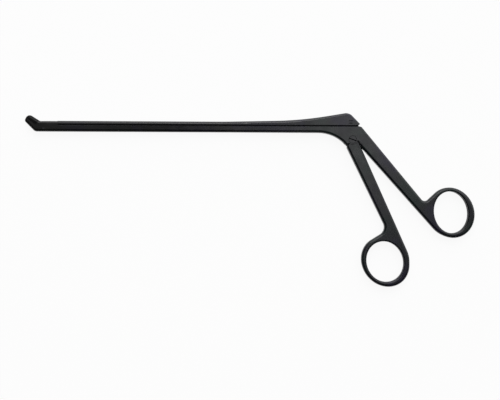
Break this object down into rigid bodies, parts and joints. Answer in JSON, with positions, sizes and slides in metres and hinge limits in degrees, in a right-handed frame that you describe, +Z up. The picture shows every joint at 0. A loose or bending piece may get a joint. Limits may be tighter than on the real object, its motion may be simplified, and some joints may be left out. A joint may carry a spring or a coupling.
{
  "type": "pituitary rongeur",
  "caption": "Black coated pituitary rongeur: slender shaft with upturned cup jaws, sliding bar on top and a finger ring handle that pivots against a fixed thumb ring handle.",
  "frame": {"origin": "middle of the underside of the bounding box, the instrument lying flat on its side with closed jaws", "axes": "+X from the jaws along the shaft to the handles, +Y from the finger ring up to the slide, +Z up through the thickness, out of the side with the screw head"},
  "size_m": [0.263, 0.1012, 0.0056],
  "materials": {
    "black_coating": "satin black hard coating on stainless steel",
    "blackened_pins": "blackened turned steel, ground flush"
  },
  "bodies": {
    "frame": {"fixed_frame": "black_coating", "jaw_pivot_pin": "blackened_pins", "handle_pivot_screw": "blackened_pins"},
    "handle": {"finger_handle": "black_coating"},
    "slide": {"slide_bar": "black_coating", "jaw_link_pin": "blackened_pins", "slide_drive_pin": "blackened_pins"},
    "jaw": {"upper_jaw": "black_coating"}
  },
  "joints": [
    {"name": "handle_pivot", "type": "hinge", "parent": "frame", "child": "handle", "pos_m": [0.05992, 0.03519, 0.0028], "axis": [0, 0, 1], "range_deg": [-14, 0]},
    {"name": "slide_travel", "type": "slide", "parent": "frame", "child": "slide", "axis": [1, 0, 0], "range_m": [0, 0.0025]},
    {"name": "jaw_pivot", "type": "hinge", "parent": "frame", "child": "jaw", "pos_m": [-0.12038, 0.04099, 0.0028], "axis": [0, 0, 1], "range_deg": [-46, 0]}
  ],
  "couplings": [
    {"joint": "slide_travel", "follows": "handle_pivot", "m_per_rad": -0.01022},
    {"joint": "jaw_pivot", "follows": "handle_pivot", "ratio": 3.277}
  ]
}
